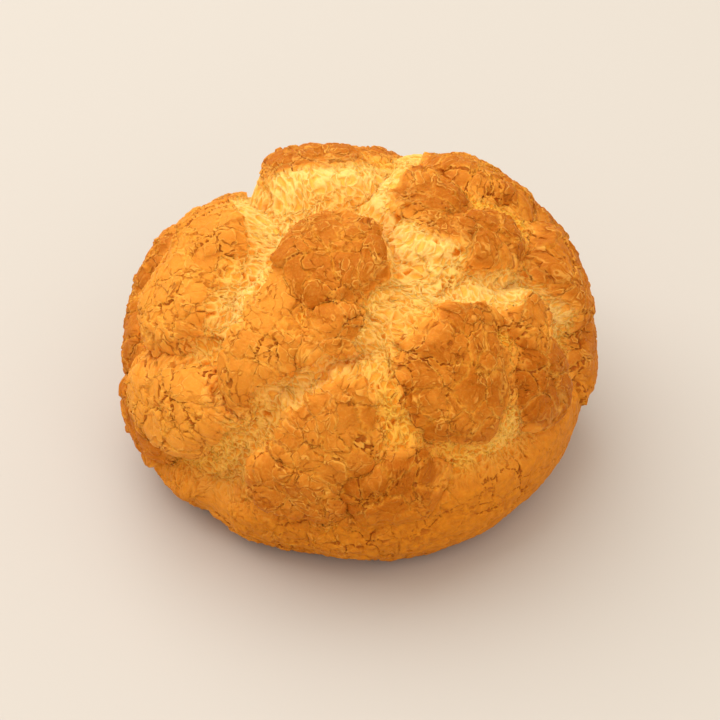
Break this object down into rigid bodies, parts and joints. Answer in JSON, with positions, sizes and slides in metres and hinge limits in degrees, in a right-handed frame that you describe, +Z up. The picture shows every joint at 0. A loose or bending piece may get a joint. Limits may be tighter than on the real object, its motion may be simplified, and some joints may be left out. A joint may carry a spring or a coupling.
{
  "type": "cream puff",
  "caption": "Whole round cream puff: a choux bun with a lumpy, split, golden-brown dome on a flat foot.",
  "frame": {"origin": "on the surface the puff stands on, under the middle of its width and depth", "axes": "+Z up; -Y is the front, with the tall seam left of the middle; +X is the right-hand side"},
  "size_m": [0.0842, 0.0858, 0.0536],
  "materials": {
    "baked_crust": "dry, matt golden-brown crust with pale yellow splits"
  },
  "bodies": {
    "root": {"puff": "baked_crust"}
  },
  "joints": []
}
